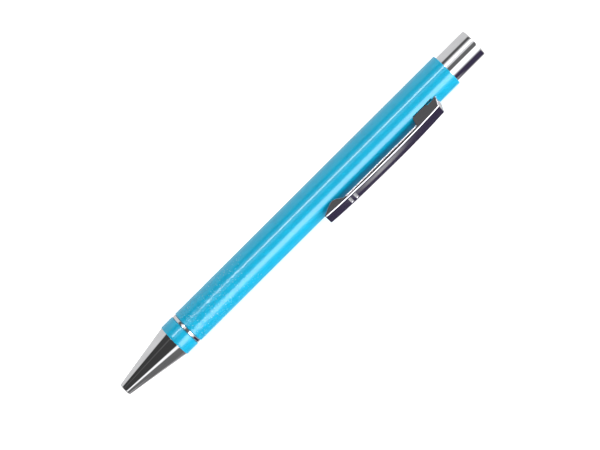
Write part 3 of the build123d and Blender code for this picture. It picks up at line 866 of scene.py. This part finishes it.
def add_hook(vertices, faces, sign):
    """Add the tongue under the barrel's wall behind the slot, a closed shell that enters the tab."""
    rim = outline(
        [
            (HOOK_FRONT, HOOK_LOW, 0.08),
            (HOOK_END, HOOK_LOW, 0.12),
            (HOOK_END, HOOK_HIGH, 0.12),
            (HOOK_FRONT, HOOK_HIGH, 0.08),
        ],
        4,
    )
    near, far = sign * (HALF - SHEET + HOOK_INSET), sign * (HALF - HOOK_INSET)
    start = len(vertices)
    count = len(rim)
    vertices += [Vector((x, near, z)) for x, z in rim] + [Vector((x, far, z)) for x, z in rim]
    for i in range(count):
        j = (i + 1) % count
        faces.append((start + i, start + j, start + count + j, start + count + i))
    faces.append(tuple(range(start, start + count)))
    faces.append(tuple(range(start + count, start + 2 * count)))


# ---------------------------------------------------------------- make everything
make_barrel()
make_cone()
make_collar()
make_ring()
make_coupler()
make_spring()
make_cap()
make_point()
make_clip()

CARRIED = {
    "thread_insert": BRASS,
    "mechanism_housing": BRASS,
    "cam_sleeve": WHITE_PLASTIC,
    "plunger_core": WHITE_PLASTIC,
    "rotor_cam": BLACK_PLASTIC,
    "refill_tube": REFILL_STEEL,
    "refill_nosepiece": BRASS,
    "refill_plug": BLUE_PLASTIC,
    "refill_ball": BALL,
    "ink": INK,
    "ink_follower": GREASE,
}
for name, material in CARRIED.items():
    for material_slot in frame["nodes"][name].material_slots:
        material_slot.material = material


# ---------------------------------------------------------------- table, light and camera
# Angles in degrees, lengths in metres
CAMERA_HEIGHT = 42.0
CAMERA_AROUND = 1.45
CAMERA_DISTANCE = 0.9
VIEW_WIDTH = 0.1664
ROLL = 45.84
SENSOR_WIDTH = 36.0  # in millimetres
NEAREST, FARTHEST = 0.01, 20.0
SHIFT_RIGHT, SHIFT_DOWN = 0.0011667, 0.0145  # in widths of the picture
TABLE_REACH = 3.0
TABLE_GLOW = 0.85


def make_table():
    mesh = bpy.data.meshes.new("table_top")
    far = TABLE_REACH
    mesh.from_pydata([(-far, -far, 0), (far, -far, 0), (far, far, 0), (-far, far, 0)], [], [(0, 1, 2, 3)])
    table = bpy.data.objects.new("table_top", mesh)
    scene.collection.objects.link(table)
    material, tree, shader = new_material("table_white")
    place = object_place(tree)
    shade = mixed(tree, noise(tree, place, 0.05, 3.0), (0.93, 0.93, 0.93, 1), (0.95, 0.95, 0.95, 1))
    tree.links.new(shade, shader.inputs["Base Color"])
    set_inputs(shader, Roughness=0.8, Specular_IOR_Level=0.1)
    set_inputs(shader, Emission_Color=(1, 1, 1, 1), Emission_Strength=TABLE_GLOW)
    mesh.materials.append(material)
    table.visible_glossy = False


# The studio: an even pale room with long panels round the pen. It is fixed to the row frame and doesn't
# follow the camera. A panel's angles are counted about the pen's axis from CAMERA_HEIGHT, negative above it
# and positive below it, towards the clip. Its reach is how far it runs along the pen, as the X part of a
# direction, where -1 is straight out past the nose. A reach of one value leaves only the soft edges.
ROOM = (0.7, 0.7, 0.7)
WHITE = (0.9, 0.9, 0.9)
SILVER = (0.5, 0.5, 0.5)
GREY = (0.1, 0.1, 0.1)
DIM = (0.15, 0.15, 0.15)
BLACK = (0.05, 0.05, 0.05)
VIOLET_BLACK = (0.05, 0.04, 0.08)
STRIP_LIGHT = (7.0, 7.0, 7.0)
SOFTBOX = (4.0, 4.0, 4.0)
BOUNCE = (1.2, 1.2, 1.2)
BRIGHTEST = max(STRIP_LIGHT)
ALL_ALONG = (-2.0, 2.0)
PAST_NOSE = (-2.0, -0.2)
BESIDE_PEN = (-0.15, 2.0)
UNDER_CLIP = (-0.15, 0.25)
ACROSS_MIDDLE = (0.0, 0.0)
FAR_PAST_NOSE = (-2.0, -0.33)
REACH_EDGE = 0.05
# (first angle, last angle, width of its soft edge, reach, colour), each panel in front of those before it
PANELS = [
    (-60, -48, 10, ALL_ALONG, GREY),
    (-35, -10, 8, BESIDE_PEN, WHITE),
    (-29, -23, 1, BESIDE_PEN, STRIP_LIGHT),
    (0, 20, 8, BESIDE_PEN, DIM),
    (35, 55, 10, BESIDE_PEN, SOFTBOX),
    (80, 135, 10, UNDER_CLIP, VIOLET_BLACK),
    (-65, 30, 10, PAST_NOSE, BLACK),
    (-31, -25, 3, PAST_NOSE, GREY),
    (40, 52, 8, PAST_NOSE, BOUNCE),
    (60, 130, 10, PAST_NOSE, DIM),
    (115, 122, 5, ACROSS_MIDDLE, SILVER),
    (105, 181, 10, FAR_PAST_NOSE, SILVER),
]


def make_studio():
    world = bpy.data.worlds.new("studio")
    scene.world = world
    world.use_nodes = True
    tree = world.node_tree
    tree.nodes.clear()
    direction = node(tree, "ShaderNodeTexCoord").outputs["Generated"]
    parts = node(tree, "ShaderNodeSeparateXYZ", inputs={0: direction}).outputs
    height = maths(tree, "ARCTAN2", parts[2], maths(tree, "MULTIPLY", parts[1], -1.0))
    turn = maths(tree, "SUBTRACT", math.radians(CAMERA_HEIGHT), height)
    share = maths(tree, "FRACT", maths(tree, "ADD", maths(tree, "DIVIDE", turn, 2 * math.pi), 0.5))
    angle = mapped(tree, share, 0.0, 1.0, -180.0, 180.0)

    def within(value, low, high, edge):
        """1 between low and high, falling to 0 over a soft edge outside them."""
        rise = mapped(tree, value, low - edge, low, 0.0, 1.0, smooth=True)
        fall = mapped(tree, value, high, high + edge, 1.0, 0.0, smooth=True)
        return maths(tree, "MULTIPLY", rise, fall)

    def light(colour):
        """The colour as a share of the brightest panel; the background's strength carries the rest."""
        return tuple(c / BRIGHTEST for c in colour) + (1,)

    colour = light(ROOM)
    for first, last, edge, reach, shade in PANELS:
        round_pen, along_pen = within(angle, first, last, edge), within(parts[0], *reach, REACH_EDGE)
        seen = maths(tree, "MULTIPLY", round_pen, along_pen)
        colour = mixed(tree, seen, colour, light(shade))
    background = node(tree, "ShaderNodeBackground", inputs={0: colour, 1: BRIGHTEST})
    output = node(tree, "ShaderNodeOutputWorld")
    tree.links.new(background.outputs[0], output.inputs[0])


def make_camera():
    data = bpy.data.cameras.new("camera")
    camera = bpy.data.objects.new("camera", data)
    scene.collection.objects.link(camera)
    around, height = math.radians(CAMERA_AROUND), math.radians(CAMERA_HEIGHT)
    level = math.cos(height)
    back = Vector((math.sin(around) * level, -math.cos(around) * level, math.sin(height)))
    target = PEN @ Vector((LENGTH / 2, 0, 0))
    data.sensor_width = SENSOR_WIDTH
    data.lens = SENSOR_WIDTH * CAMERA_DISTANCE / VIEW_WIDTH
    data.clip_start = NEAREST
    data.clip_end = FARTHEST
    sideways = Vector((0, 0, 1)).cross(back).normalized()
    upward = back.cross(sideways)
    turn = Matrix((sideways, upward, back)).transposed().to_4x4()
    turn = turn @ Matrix.Rotation(-math.radians(ROLL), 4, "Z")
    camera.matrix_world = Matrix.Translation(target + back * CAMERA_DISTANCE) @ turn
    data.shift_x = SHIFT_RIGHT
    data.shift_y = -SHIFT_DOWN
    scene.camera = camera


make_table()
make_studio()
make_camera()
scene.view_settings.view_transform = "Standard"
